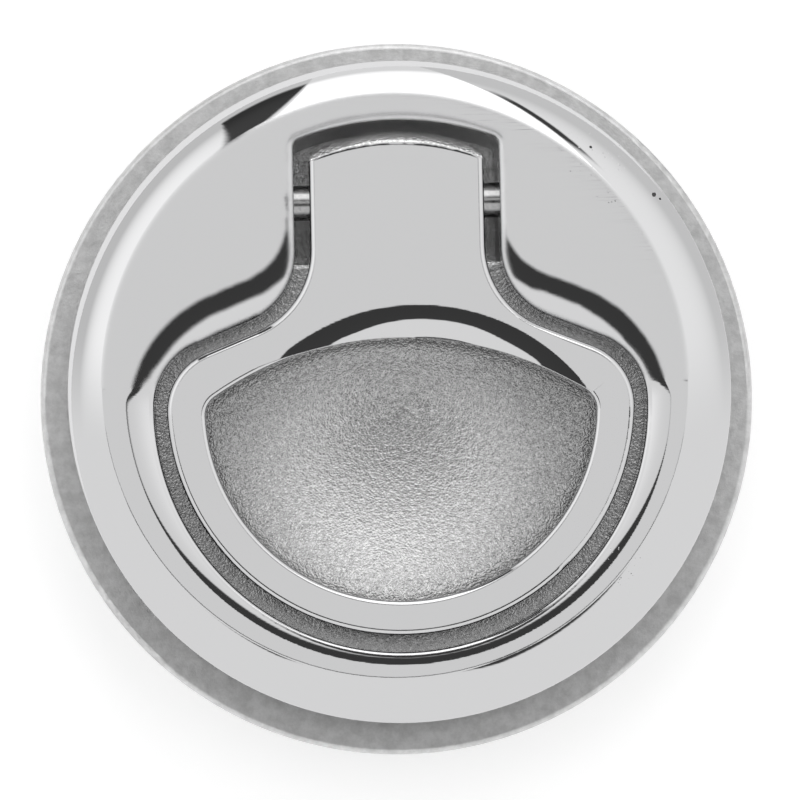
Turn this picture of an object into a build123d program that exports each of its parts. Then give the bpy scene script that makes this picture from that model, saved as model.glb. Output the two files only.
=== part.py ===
from build123d import *
import math
import os

# Flush pull hatch latch, in millimetres.
# The origin is on the barrel's axis in the plane of the panel's outer face.
# +Z points out of the panel, +Y from the pull towards the pivot and the bolt, +X to the right.

# Bezel
BEZEL_R = 31.75
FACE_Z = 3.2
GASKET_T = 0.5
BEZEL_LAND = 0.6
CREASE_R = 27.9
CREASE_SLOPE = 14.0
CREASE_SHIFT = (-0.5, 0.5)
DOME_STEPS = 3
EDGE_ROUND = 0.25

# Barrel, and the body behind its thread
BARREL_R = 28.0
BARREL_END_Z = -14.4
BODY_R = 26.5
BODY_END_Z = -21.7
BARREL_CHAMFER = 0.8

# Recess for the pull: a disc under sloping shoulders, with a neck that runs to the pivot
RECESS_R = 23.5
RECESS_Y = -1.55
RECESS_DEPTH = 3.9
RECESS_TOP_R = 25.9
RECESS_FLANK_R = 7.0
RECESS_CORNER_R = 6.5
RECESS_TIP_R = 0.8
SHOULDER_SLOPE = 22.0
SHOULDER_APEX = 11.24
SHOULDER_GAP = 1.3
NECK_GAP = 1.5
NECK_FLOOR_DEPTH = 10.2
SHELF_LIP_Y = 12.4
SHELF_EDGE_ROUND = 0.4
RIM_ROUND = 0.3

# Soft flare round the recess
FLARE_SIDE_W = 3.5
FLARE_R = RECESS_R + FLARE_SIDE_W
FLARE_W = 7.0
FLARE_FLATNESS = 0.67
FLARE_SHOULDER_W = 4.75
FLARE_NECK_W = 1.2

# Finger dish under the pull
DISH_DEPTH = 10.2
DISH_MARGIN = 0.9
DISH_BALL_R = 46.0
DISH_BALL_Y = -6.0
DISH_ROUND = 3.0

# Pull handle
PULL_GAP = 1.2
PULL_R = RECESS_R - PULL_GAP
PULL_Y = -1.1
PULL_T = 3.6
PULL_NECK_HALF = 8.35
PULL_FLANK_R = 8.4
PULL_CORNER_R = 6.0
PULL_TIP_R = 1.0
PULL_END_R = 14.0
PULL_END_Y = 25.1
PULL_END_ROUND = 0.4
PULL_HEEL_R = 22.0
PULL_HEEL_Y = 23.4
PULL_HEEL_W = 2.0
PULL_HEEL_DEPTH = 2.2
PULL_HEEL_SWING = 30.0
PULL_FRONT_GAP = 0.2
PULL_EDGE_ROUND = 0.5
RING_W = 3.7
HOLE_R = PULL_R - RING_W
HOLE_Y = -1.55
HOLE_ROOF_R = 31.5
HOLE_ROOF_Y = 4.96
HOLE_CORNER_R = 2.0
HOLE_EDGE_ROUND = 0.45
THUMB_X = 1.8
THUMB_CROWN_Y = 9.4
THUMB_R = 21.5
THUMB_SWING = 55.0
THUMB_W = 4.6
THUMB_DEPTH = 1.6

# Pivot
PIN_R = 1.7
PIN_Y = 18.4
PIN_DEPTH = 4.6
PIN_LEFT_X = -19.5
PIN_RIGHT_X = 13.5
PIN_RUNNING_GAP = 0.05
PIN_CHAMFER = 0.3
BOSS_R = 3.3
TAIL_GAP = 0.4
TAIL_T = 3.4

# Leg of the pull, which draws the bolt back
LEG_LENGTH = 16.2
LEG_T = 4.4
LEG_W = 6.0
LEG_SIDE_GAP = 0.4
LEG_FRONT_GAP = 0.5
LEG_BACK_GAP = 0.8
PULL_SWING = 30.0

# Spring that holds the pull flush
CLOSER_WIRE_R = 0.35
CLOSER_COIL_R = 2.35
CLOSER_TURNS = 3.0
CLOSER_PITCH = 0.76
CLOSER_X = -6.15
CLOSER_SLOT_X = (-6.7, -3.5)
CLOSER_SLOT_GAP = 0.35
CLOSER_DROP = 4.5

# Bolt and its channel
BOLT_HALF_W = 7.0
BOLT_H = 6.0
BOLT_GAP = 0.3
BOLT_TIP_Y = 34.2
BOLT_TAIL_Y = -12.0
BOLT_HEAD_Y = 28.4
BOLT_HEAD_STEP = 0.7
BOLT_RAMP_H = 3.8
BOLT_RAMP_L = 5.0
BOLT_EDGE = 0.4
CHANNEL_END_Y = -22.5

# Bolt spring
SPRING_SLOT_HALF = 2.8
SPRING_SEAT_Y = 11.0
SPRING_COIL_R = 2.1
SPRING_WIRE_R = 0.4
SPRING_TURNS = 7.0
SPRING_PEG_R = 1.5
SPRING_PEG_L = 2.5
SEAT_GAP = 0.05

# Rear plate and its countersunk screws
PLATE_T = 2.0
PLATE_EDGE = 0.4
SCREW_R = 1.5
SCREW_HEAD_R = 2.8
SCREW_LENGTH = 8.0
SCREW_CIRCLE_R = 20.5
SCREW_ANGLES = (45, 135, 225, 315)
SCREW_SOCKET_W = 2.0
SCREW_SOCKET_DEPTH = 1.0

# Ring nut on the barrel, drawn up for the thickest panel
NUT_TOP_Z = -9.0
NUT_R = 35.0
NUT_FLANGE_T = 2.6
NUT_H = 5.0
NUT_HUB_R = 32.0
NUT_THREAD_GAP = 0.1
NUT_NOTCHES = 6
NUT_NOTCH_W = 7.0
NUT_NOTCH_DEPTH = 1.8
NUT_EDGE = 0.6

# Gasket under the bezel
GASKET_R = 31.2
GASKET_BORE_GAP = 0.05

# Heights worked out from the sizes above
SHELF_Z = FACE_Z - RECESS_DEPTH
PULL_UNDER_Z = FACE_Z - PULL_T
PIN_Z = FACE_Z - PIN_DEPTH
NECK_FLOOR_Z = FACE_Z - NECK_FLOOR_DEPTH
CHANNEL_ROOF_Z = BODY_END_Z + BOLT_H + 2 * BOLT_GAP
BOLT_TOP_Z = CHANNEL_ROOF_Z - BOLT_GAP
BOLT_MID_Z = BOLT_TOP_Z - BOLT_H / 2
SHOULDER_TAN = math.tan(math.radians(SHOULDER_SLOPE))
SHOULDER_COS = math.cos(math.radians(SHOULDER_SLOPE))
FAR = 60.0
OVERRUN = 1.0
ON_FACE = 0.001
ON_CURVE = 0.01


def side_profile(sketch, half_width):
    """Extrude a sketch drawn in (Y, Z) both ways along X."""
    return extrude(Plane.YZ * sketch, amount=half_width, both=True)


def bell(disc_r, disc_y, gap, neck_half, end, flank_r, corner_r, tip_r):
    """Outline of a disc cut off by two sloping shoulders, with a neck that ends in the given face."""
    apex = SHOULDER_APEX + gap / SHOULDER_COS
    low = apex - FAR * SHOULDER_TAN
    roof = Polygon((0, apex), (-FAR, low), (-FAR, -FAR), (FAR, -FAR), (FAR, low), align=None)
    disc = Pos(0, disc_y) * Circle(disc_r)
    neck = Pos(0, FAR / 2) * Rectangle(2 * neck_half, FAR)
    outline = (disc & roof) + (neck & end)
    corners = outline.vertices().sort_by(Axis.Y)
    outline = fillet(corners[-2:], tip_r)
    corners = outline.vertices().sort_by(Axis.Y)
    flanks = [v for v in corners if abs(abs(v.X) - neck_half) < ON_FACE and v.Y < SHELF_LIP_Y]
    outline = fillet(flanks, flank_r)
    shoulders = outline.vertices().filter_by_position(Axis.Y, disc_y + OVERRUN, SHOULDER_APEX)
    corners = shoulders.sort_by(lambda v: abs(v.X))[-2:]
    return fillet(corners, corner_r)


def recess_outline():
    end = Circle(RECESS_TOP_R)
    neck_half = PULL_NECK_HALF + NECK_GAP
    return bell(
        RECESS_R, RECESS_Y, SHOULDER_GAP, neck_half, end, RECESS_FLANK_R, RECESS_CORNER_R, RECESS_TIP_R
    )


def pull_outline():
    end = Pos(0, PULL_END_Y - PULL_END_R) * Circle(PULL_END_R)
    return bell(PULL_R, PULL_Y, 0, PULL_NECK_HALF, end, PULL_FLANK_R, PULL_CORNER_R, PULL_TIP_R)


def hole_outline(margin=0.0):
    disc = Pos(0, HOLE_Y) * Circle(HOLE_R + margin)
    roof = Pos(0, HOLE_ROOF_Y - HOLE_ROOF_R) * Circle(HOLE_ROOF_R + margin)
    outline = disc & roof
    corners = outline.vertices().sort_by(Axis.Y)[-2:]
    return fillet(corners, HOLE_CORNER_R + margin)


def dome():
    """The sloping ring of the bezel, from its outer land up to the flat face."""
    rise = FACE_Z - GASKET_T - BEZEL_LAND
    run = BEZEL_R - CREASE_R
    chord_angle = math.atan2(rise, run)
    start = math.radians(CREASE_SLOPE)
    half_turn = chord_angle - start
    arc_r = math.hypot(rise, run) / (2 * math.sin(half_turn))
    sections = []
    for step in range(DOME_STEPS + 1):
        share = step / DOME_STEPS
        slope = start + 2 * half_turn * share
        radius = CREASE_R + arc_r * (math.sin(slope) - math.sin(start))
        height = FACE_Z - arc_r * (math.cos(start) - math.cos(slope))
        shift_x = CREASE_SHIFT[0] * (1 - share)
        shift_y = CREASE_SHIFT[1] * (1 - share)
        sections.append(Pos(shift_x, shift_y, height) * Circle(radius))
    return loft(sections[::-1])


def flare():
    """The space above the soft flare round the recess: a rounded-over edge, flattened to its depth."""
    neck_inset = FLARE_W - FLARE_NECK_W
    path = bell(
        FLARE_R - FLARE_W,
        0,
        SHOULDER_GAP - (FLARE_W - FLARE_SHOULDER_W),
        PULL_NECK_HALF + NECK_GAP - neck_inset,
        Circle(RECESS_TOP_R - neck_inset),
        RECESS_FLANK_R + neck_inset,
        RECESS_CORNER_R,
        RECESS_TIP_R + OVERRUN,
    )
    slab_t = FLARE_W + OVERRUN
    slab = Pos(0, 0, -slab_t) * extrude(Circle(FAR), amount=slab_t)
    plug = Pos(0, 0, -slab_t) * extrude(path, amount=slab_t)
    plate = slab - plug
    rim = plate.faces().sort_by(Axis.Z)[-1].inner_wires()[0].edges()
    plate = fillet(rim, FLARE_W)
    above_shelf = Pos(0, 0, OVERRUN - RECESS_DEPTH) * extrude(Circle(FAR), amount=RECESS_DEPTH)
    hollow = scale(slab - plate, by=(1, 1, FLARE_FLATNESS)) & above_shelf
    return Pos(0, 0, FACE_Z) * hollow


def dish():
    """Finger dish: a ball's underside inside the outline of the pull's hole."""
    wall = extrude(hole_outline(DISH_MARGIN), amount=-FAR)
    bottom_z = -DISH_DEPTH
    ball = Pos(0, DISH_BALL_Y, bottom_z + DISH_BALL_R) * Rot(90, 0, 0) * Sphere(DISH_BALL_R)
    bowl = wall & ball
    low_edges = [e for e in bowl.edges() if (e @ 0.5).Z < -RECESS_DEPTH and abs((e % 0.5).Z) < 0.9]
    bowl = fillet(low_edges, DISH_ROUND)
    return Pos(0, 0, FACE_Z) * bowl


def leg_slot():
    """Slot through the recess floor, sloped at the front to clear the swinging leg."""
    back_y = PIN_Y + LEG_T / 2 + LEG_BACK_GAP
    swing = math.radians(PULL_SWING)
    front_low = PIN_Y - LEG_LENGTH * math.sin(swing) - LEG_T / 2 - LEG_BACK_GAP
    drop = PIN_Z - NECK_FLOOR_Z
    front_high = PIN_Y - drop * math.tan(swing) - LEG_T / 2 / math.cos(swing) - LEG_BACK_GAP
    sketch = Polygon(
        (back_y, NECK_FLOOR_Z + OVERRUN),
        (front_high, NECK_FLOOR_Z + OVERRUN),
        (front_low, CHANNEL_ROOF_Z + 2 * OVERRUN),
        (front_low, CHANNEL_ROOF_Z - OVERRUN),
        (back_y, CHANNEL_ROOF_Z - OVERRUN),
        align=None,
    )
    return side_profile(sketch, LEG_W / 2 + LEG_SIDE_GAP)


def bolt_channel():
    half = BOLT_HALF_W + BOLT_GAP
    length = FAR - CHANNEL_END_Y
    height = CHANNEL_ROOF_Z - BODY_END_Z
    box = Box(2 * half, length, height, align=(Align.CENTER, Align.MIN, Align.MIN))
    return Pos(0, CHANNEL_END_Y, BODY_END_Z) * box


def screw_places():
    for angle in SCREW_ANGLES:
        turn = math.radians(angle)
        yield SCREW_CIRCLE_R * math.cos(turn), SCREW_CIRCLE_R * math.sin(turn)


def recess_rim(housing):
    """The edge where the recess wall meets the flare."""
    wall = recess_outline().wire()
    edges = ShapeList()
    for edge in housing.edges():
        point = edge @ 0.5
        on_wall = wall.distance_to(Vector(point.X, point.Y, 0)) < ON_CURVE
        if on_wall and point.Z > SHELF_Z + 1 and edge.length > 0.5 and abs((edge % 0.5).Z) < 0.9:
            edges.append(edge)
    return edges


def shelf_edges(housing):
    """The edges of the shelf over the dish and over the well at the pivot."""
    brink = hole_outline(DISH_MARGIN).wire()
    edges = ShapeList()
    for edge in housing.edges():
        point = edge @ 0.5
        if abs(point.Z - SHELF_Z) > ON_FACE:
            continue
        at_lip = abs(point.Y - SHELF_LIP_Y) < ON_FACE and abs((edge % 0.5).X) > 0.99
        if at_lip or brink.distance_to(Vector(point.X, point.Y, 0)) < ON_CURVE:
            edges.append(edge)
    return edges


def make_housing():
    land = Pos(0, 0, GASKET_T) * extrude(Circle(BEZEL_R), amount=BEZEL_LAND)
    land = fillet(land.edges().sort_by(Axis.Z)[0], EDGE_ROUND)
    barrel = Pos(0, 0, BARREL_END_Z) * extrude(Circle(BARREL_R), amount=GASKET_T - BARREL_END_Z)
    barrel = chamfer(barrel.edges().sort_by(Axis.Z)[0], BARREL_CHAMFER)
    body = Pos(0, 0, BODY_END_Z) * extrude(Circle(BODY_R), amount=BARREL_END_Z - BODY_END_Z)
    housing = land + dome() + barrel + body

    recess = Pos(0, 0, SHELF_Z) * extrude(recess_outline(), amount=RECESS_DEPTH + OVERRUN)
    behind_lip = Pos(0, SHELF_LIP_Y + FAR / 2) * Rectangle(FAR, FAR)
    well_outline = recess_outline() & behind_lip
    well = Pos(0, 0, NECK_FLOOR_Z) * extrude(well_outline, amount=NECK_FLOOR_DEPTH)
    housing = housing - flare() - recess - well - dish()
    housing = fillet(shelf_edges(housing), SHELF_EDGE_ROUND)
    housing = fillet(recess_rim(housing), RIM_ROUND)
    housing = housing - leg_slot() - bolt_channel()

    peg = Cylinder(SPRING_PEG_R, SPRING_PEG_L, rotation=(-90, 0, 0), align=(Align.CENTER, Align.CENTER, Align.MIN))
    housing += Pos(0, CHANNEL_END_Y, BOLT_MID_Z) * peg

    pin_run = PIN_RIGHT_X + FAR
    pin_hole = Cylinder(PIN_R, pin_run, rotation=(0, 90, 0), align=(Align.CENTER, Align.CENTER, Align.MAX))
    housing -= Pos(PIN_RIGHT_X, PIN_Y, PIN_Z) * pin_hole
    for x, y in screw_places():
        depth = SCREW_LENGTH - PLATE_T
        hole = Cylinder(SCREW_R, depth, align=(Align.CENTER, Align.CENTER, Align.MIN))
        housing -= Pos(x, y, BODY_END_Z) * hole
    return housing


def arc_relief(start_r, width, depth, swing):
    """Space over a rounding that falls away from a flat face at start_r, inwards for a negative width."""
    low_z = FACE_Z - depth
    top_z = FACE_Z + OVERRUN
    end_r = start_r + width
    quarter = EllipticalCenterArc((start_r, low_z), abs(width), depth, start_angle=90 if width < 0 else 0, arc_size=90)
    above = Polyline((end_r, low_z), (end_r, top_z), (start_r, top_z), (start_r, FACE_Z))
    profile = make_face(quarter.edges() + above.edges())
    arc_solid = revolve(Plane.XZ * profile, Axis.Z, revolution_arc=2 * swing)
    return Rot(0, 0, 90 - swing) * arc_solid


def thumb_relief():
    """Broad rounding on the roof of the pull's hole, which runs out towards the hole's corners."""
    return Pos(THUMB_X, THUMB_CROWN_Y - THUMB_R) * arc_relief(THUMB_R, -THUMB_W, THUMB_DEPTH, THUMB_SWING)


def heel_relief():
    """Rounding of the pull's rear end behind its polished face."""
    place = Pos(0, PULL_HEEL_Y - PULL_HEEL_R)
    return place * arc_relief(PULL_HEEL_R, PULL_HEEL_W, PULL_HEEL_DEPTH, PULL_HEEL_SWING)


def tail_space(neck_depth):
    """What the pull's rear end leaves free: the recess wall as the swing meets it, and a rounded plan."""
    behind_pin = Pos(0, PIN_Y + FAR / 2) * Rectangle(FAR, FAR)
    reach = Circle(RECESS_TOP_R - TAIL_GAP) & behind_pin
    spindle = revolve(reach, Axis((0, PIN_Y, 0), (1, 0, 0)))
    swept = extrude(behind_pin, amount=FAR / 2, both=True) - spindle
    drum = Pos(0, PULL_END_Y - PULL_END_R, FACE_Z - neck_depth) * extrude(Circle(PULL_END_R), amount=neck_depth)
    drum = fillet(drum.edges().sort_by(Axis.Z)[-1], PULL_END_ROUND)
    block = Box(FAR, FAR, neck_depth, align=(Align.CENTER, Align.MIN, Align.MAX))
    return Pos(0, 0, PIN_Z) * swept + (Pos(0, PIN_Y, FACE_Z) * block - drum)


def make_pull():
    outline = pull_outline()
    ring = Pos(0, 0, PULL_UNDER_Z) * extrude(outline - hole_outline(), amount=PULL_T)

    boss = Pos(PIN_Y, PIN_Z) * Circle(BOSS_R)
    front_y = SHELF_LIP_Y + PULL_FRONT_GAP
    block = Polygon(
        (front_y, PULL_UNDER_Z),
        (front_y, FACE_Z),
        (PULL_END_Y, FACE_Z),
        (PULL_END_Y, FACE_Z - TAIL_T),
        align=None,
    )
    side = make_hull(boss.edges() + block.edges())
    neck_depth = FACE_Z - PIN_Z + BOSS_R
    column = Pos(0, 0, FACE_Z - neck_depth) * extrude(outline, amount=neck_depth)
    pull = ring + (side_profile(side, PULL_NECK_HALF) & column)

    top = pull.faces().sort_by(Axis.Z)[-1]
    pull = fillet(top.outer_wire().edges(), PULL_EDGE_ROUND)
    top = pull.faces().sort_by(Axis.Z)[-1]
    pull = fillet(top.inner_wires()[0].edges(), HOLE_EDGE_ROUND)
    pull = pull - thumb_relief() - heel_relief() - tail_space(neck_depth)

    leg = Pos(PIN_Y, PIN_Z - LEG_LENGTH / 2) * Rectangle(LEG_T, LEG_LENGTH)
    tip = Pos(PIN_Y, PIN_Z - LEG_LENGTH) * Circle(LEG_T / 2)
    pull += side_profile(leg + tip, LEG_W / 2)

    pull -= Pos(0, PIN_Y, PIN_Z) * Cylinder(PIN_R + PIN_RUNNING_GAP, FAR, rotation=(0, 90, 0))
    slot_w = CLOSER_SLOT_X[1] - CLOSER_SLOT_X[0]
    slot_top = PIN_Z + CLOSER_COIL_R + CLOSER_WIRE_R + CLOSER_SLOT_GAP
    slot = Box(slot_w, FAR, FAR, align=(Align.MIN, Align.MIN, Align.MAX))
    pull -= Pos(CLOSER_SLOT_X[0], front_y, slot_top) * slot
    return pull


def make_pin():
    length = PIN_RIGHT_X - PIN_LEFT_X
    pin = Cylinder(PIN_R, length, align=(Align.CENTER, Align.CENTER, Align.MIN))
    pin = chamfer(pin.edges().filter_by(GeomType.CIRCLE), PIN_CHAMFER)
    return Pos(PIN_LEFT_X, PIN_Y, PIN_Z) * Rot(0, 90, 0) * pin


def rod(start, end, radius):
    """Round wire from one point to another."""
    axis = Vector(*end) - Vector(*start)
    plane = Plane(origin=start, z_dir=axis)
    return extrude(plane * Circle(radius), amount=axis.length)


def coil(radius, wire_r, pitch, turns):
    """Coil of round wire about Z, starting at (radius, 0, 0)."""
    path = Helix(pitch=pitch, height=pitch * turns, radius=radius)
    section = Plane(origin=path @ 0, z_dir=path % 0) * Circle(wire_r)
    return sweep(section, path=path, is_frenet=True)


def make_closer():
    """Torsion spring on the pivot: one arm on the shelf's wall, one on the front of the leg."""
    turns = coil(CLOSER_COIL_R, CLOSER_WIRE_R, CLOSER_PITCH, CLOSER_TURNS)
    spring = Pos(CLOSER_X, PIN_Y, PIN_Z) * Rot(0, 90, 0) * turns
    low_z = PIN_Z - CLOSER_COIL_R
    wall_y = SHELF_LIP_Y + SEAT_GAP
    spring += rod((CLOSER_X, PIN_Y, low_z), (CLOSER_X, wall_y, low_z), CLOSER_WIRE_R)
    end_x = CLOSER_X + CLOSER_PITCH * CLOSER_TURNS
    leg_front = PIN_Y - LEG_T / 2 - CLOSER_WIRE_R - SEAT_GAP
    foot = (end_x, leg_front, PIN_Z - CLOSER_DROP)
    spring += rod((end_x, PIN_Y, low_z), foot, CLOSER_WIRE_R)
    spring += Pos(*foot) * Sphere(CLOSER_WIRE_R)
    spring += rod(foot, (-LEG_W / 6, leg_front, PIN_Z - CLOSER_DROP), CLOSER_WIRE_R)
    return spring


def make_bolt():
    tail_z = BOLT_TOP_Z - BOLT_H
    head_z = BOLT_TOP_Z - BOLT_HEAD_STEP
    side = Polygon(
        (BOLT_TAIL_Y, tail_z),
        (BOLT_TIP_Y - BOLT_RAMP_L, tail_z),
        (BOLT_TIP_Y, tail_z + BOLT_RAMP_H),
        (BOLT_TIP_Y, head_z),
        (BOLT_HEAD_Y, head_z),
        (BOLT_HEAD_Y, BOLT_TOP_Z),
        (BOLT_TAIL_Y, BOLT_TOP_Z),
        align=None,
    )
    bolt = side_profile(side, BOLT_HALF_W)
    upright = bolt.edges().filter_by(Axis.Z)
    bolt = chamfer(upright.sort_by(Axis.Y)[-2:] + upright.sort_by(Axis.Y)[:2], BOLT_EDGE)
    front_y = PIN_Y - LEG_T / 2 - LEG_FRONT_GAP
    back_y = PIN_Y + LEG_T / 2 + LEG_BACK_GAP
    notch_half = LEG_W / 2 + LEG_SIDE_GAP
    notch = Pos(0, (front_y + back_y) / 2, BOLT_MID_Z) * Box(2 * notch_half, back_y - front_y, 2 * BOLT_H)
    slot_length = SPRING_SEAT_Y - BOLT_TAIL_Y
    slot = Box(2 * SPRING_SLOT_HALF, slot_length + OVERRUN, 2 * BOLT_H, align=(Align.CENTER, Align.MAX, Align.CENTER))
    return bolt - notch - Pos(0, SPRING_SEAT_Y, BOLT_MID_Z) * slot


def make_bolt_spring():
    start = CHANNEL_END_Y + SPRING_WIRE_R + SEAT_GAP
    end = SPRING_SEAT_Y - SPRING_WIRE_R - SEAT_GAP
    pitch = (end - start) / SPRING_TURNS
    turns = coil(SPRING_COIL_R, SPRING_WIRE_R, pitch, SPRING_TURNS)
    return Pos(0, start, BOLT_MID_Z) * Rot(-90, 0, 0) * turns


def make_rear_plate():
    plate = Pos(0, 0, BODY_END_Z - PLATE_T) * extrude(Circle(BODY_R), amount=PLATE_T)
    plate = fillet(plate.edges().sort_by(Axis.Z)[0], PLATE_EDGE)
    for x, y in screw_places():
        plate -= Pos(x, y, BODY_END_Z - PLATE_T) * screw_body()
    return plate


def screw_body():
    """Countersunk head and shank, standing on the head at z = 0."""
    head_h = SCREW_HEAD_R - SCREW_R
    head = Cone(SCREW_HEAD_R, SCREW_R, head_h, align=(Align.CENTER, Align.CENTER, Align.MIN))
    shank = Cylinder(SCREW_R, SCREW_LENGTH, align=(Align.CENTER, Align.CENTER, Align.MIN))
    return head + shank


def make_screws():
    socket = extrude(RegularPolygon(SCREW_SOCKET_W / math.sqrt(3), 6), amount=SCREW_SOCKET_DEPTH)
    screw = screw_body() - socket
    return Compound([Pos(x, y, BODY_END_Z - PLATE_T) * screw for x, y in screw_places()])


def make_ring_nut():
    bore_r = BARREL_R + NUT_THREAD_GAP
    low_z = NUT_TOP_Z - NUT_H
    step_z = NUT_TOP_Z - NUT_FLANGE_T
    flange = Pos(0, 0, step_z) * extrude(Circle(NUT_R), amount=NUT_FLANGE_T)
    flange = fillet(flange.edges().filter_by(GeomType.CIRCLE), NUT_EDGE)
    hub = Pos(0, 0, low_z) * extrude(Circle(NUT_HUB_R), amount=NUT_H - NUT_FLANGE_T)
    nut = flange + hub
    notch_h = NUT_H - NUT_FLANGE_T
    for index in range(NUT_NOTCHES):
        notch = Box(2 * NUT_NOTCH_DEPTH, NUT_NOTCH_W, notch_h, align=(Align.CENTER, Align.CENTER, Align.MIN))
        turn = (index + 0.5) * 360 / NUT_NOTCHES
        nut -= Rot(0, 0, turn) * Pos(NUT_HUB_R, 0, low_z) * notch
    nut -= Pos(0, 0, low_z) * extrude(Circle(bore_r), amount=NUT_H)
    return nut


def make_gasket():
    ring = Circle(GASKET_R) - Circle(BARREL_R + GASKET_BORE_GAP)
    return extrude(ring, amount=GASKET_T)


def main():
    os.makedirs("parts", exist_ok=True)
    nodes = {
        "housing": make_housing(),
        "pull_handle": make_pull(),
        "pivot_pin": make_pin(),
        "handle_spring": make_closer(),
        "latch_bolt": make_bolt(),
        "bolt_spring": make_bolt_spring(),
        "rear_plate": make_rear_plate(),
        "rear_plate_screws": make_screws(),
        "ring_nut": make_ring_nut(),
        "bezel_gasket": make_gasket(),
    }
    for name, shape in nodes.items():
        export_step(shape, f"parts/{name}.step")


main()
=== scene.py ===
import math

import bmesh
import bpy
from bpy.props import FloatProperty, FloatVectorProperty, IntProperty, PointerProperty
from mathutils import Matrix, Vector


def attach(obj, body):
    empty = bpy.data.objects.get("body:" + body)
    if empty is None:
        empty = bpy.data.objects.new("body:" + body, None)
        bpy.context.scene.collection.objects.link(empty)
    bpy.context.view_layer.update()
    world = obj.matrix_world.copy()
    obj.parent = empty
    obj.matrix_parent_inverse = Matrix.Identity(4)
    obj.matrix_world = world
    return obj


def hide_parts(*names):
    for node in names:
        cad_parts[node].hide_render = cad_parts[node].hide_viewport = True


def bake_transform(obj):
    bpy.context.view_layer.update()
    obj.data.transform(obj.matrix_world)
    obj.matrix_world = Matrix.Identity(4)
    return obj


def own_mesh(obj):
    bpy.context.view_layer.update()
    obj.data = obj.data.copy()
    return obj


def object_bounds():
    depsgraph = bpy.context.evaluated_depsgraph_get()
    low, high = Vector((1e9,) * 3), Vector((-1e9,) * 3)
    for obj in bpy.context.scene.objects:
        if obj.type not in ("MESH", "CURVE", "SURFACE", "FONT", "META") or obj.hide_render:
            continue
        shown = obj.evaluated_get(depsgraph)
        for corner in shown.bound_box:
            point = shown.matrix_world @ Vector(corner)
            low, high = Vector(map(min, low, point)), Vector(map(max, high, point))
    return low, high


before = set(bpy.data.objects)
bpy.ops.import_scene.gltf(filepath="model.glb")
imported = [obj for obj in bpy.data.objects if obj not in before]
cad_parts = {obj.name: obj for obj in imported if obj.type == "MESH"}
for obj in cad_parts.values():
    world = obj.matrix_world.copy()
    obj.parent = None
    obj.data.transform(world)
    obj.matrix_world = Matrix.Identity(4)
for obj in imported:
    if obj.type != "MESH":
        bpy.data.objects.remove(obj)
CAD_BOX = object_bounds()

bl_info = {
    "name": "Hatch latch",
    "version": (1, 0, 0),
    "blender": (4, 5, 0),
    "location": "3D View > Sidebar > Hatch latch",
    "description": "Finishes, threads and springs of a flush pull hatch latch, with its studio",
    "category": "Object",
}

MM = 0.001

# Places on the latch, as the solids have them
FACE_Z = 3.2 * MM
SHELF_Z = -0.7 * MM
SHELF_LIP_Y = 12.4 * MM
PIN_Y = 18.4 * MM
PIN_Z = -1.4 * MM
WELL_R = 25.9 * MM
HEEL_Y = 1.4 * MM
HEEL_R = 22.0 * MM
BARREL_R = 28.0 * MM

# The flare round the recess where it follows a circle: its outer radius, its rounding and how flat that is
FLARE_R = 27.0 * MM
FLARE_W = 7.0 * MM
FLARE_FLATNESS = 0.67
RECESS_R = 23.5 * MM
RECESS_Y = -1.55 * MM
RIM_W = 0.42 * MM

# The dome outside the crease: its width, the slope it starts with, its arc and the drift of its circles
CREASE_R = 27.9 * MM
CREASE_SLOPE = math.radians(14.0)
CREASE_SHIFT = 0.5 * MM
DOME_W = 3.85 * MM
DOME_ARC_R = 8.69 * MM

# Faces that meet at more than this keep a sharp edge
SHARP_ANGLE = math.radians(40)

# How deep the thread's foot lies in the barrel, and half its foot and crest in shares of the pitch
THREAD_SEAT = 0.15 * MM
THREAD_FOOT = 0.48
THREAD_CREST = 0.08

# Share of its height that the thread keeps at its very ends, inside the barrel
THREAD_END_SHARE = 0.08

# The springs: faces in one turn, the pitch of closed turns in wires, and an elbow's radius in wires
COIL_FACETS = 28
CLOSED_PITCH = 1.05
ELBOW_R = 1.25
ELBOW_FACETS = 6

# How far the polishing wheel rounds an edge, and the reach that evens out the flare's facets
EDGE_SOFTNESS = 0.12 * MM
FACET_SOFTNESS = 0.9 * MM

# Flaws of the polished face: the middle of each spot, and its radius
NICKS = (
    ((18.7 * MM, 22.9 * MM), 0.16 * MM),
    ((24.7 * MM, 18.3 * MM), 0.26 * MM),
    ((25.3 * MM, 17.9 * MM), 0.14 * MM),
)
PITTED_SPOT = ((20.5 * MM, -17.1 * MM), 2.2 * MM)
MOTTLED_SPOT = ((20.8 * MM, 22.2 * MM), 5.5 * MM)

# The middle of the dish, where fingers rub it most; from where to where that flattens its grain, and from
# where to where the middle's tone is painted paler as painted light
DISH_MIDDLE = (-1.0 * MM, -8.0 * MM)
RUBBED_GRAIN = (4 * MM, 19 * MM)
PAINTED_LIGHT_SPAN = (6 * MM, 20 * MM)

# The cast grain's height on the shelf, in the dish's middle where fingers rub it, and at the dish's edge
SHELF_RELIEF = 0.4
RUBBED_RELIEF = 0.5
EDGE_RELIEF = 1.3

# What the lumps and pits count beside the grain
LUMP_SHARE = 0.8
PIT_SHARE = 0.15

# How close the finishes' patterns lie, in cells in a metre
WAVES = 90
STROKES = 4500
CAST_GRAIN = 5200
CAST_LUMPS = 2300
CAST_PITS = 1400
CAST_MOTTLE = 2600
PORES = 2600
PORE_PATCHES = 1400
NICK_EDGE = 3000
HEEL_EDGE = 1200
WIRE_CLOUD = 1800
TURNED_CLOUD = 300
RUBBER_GRAIN = 2500

# How high their bumps stand
WAVE_HEIGHT = 0.03 * MM
STROKE_HEIGHT = 0.0018 * MM
FLAW_DEPTH = 0.1 * MM
CAST_HEIGHT = 0.13 * MM
RING_HEIGHT = 0.008 * MM
WIRE_HEIGHT = 0.006 * MM
RUBBER_HEIGHT = 0.03 * MM

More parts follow.
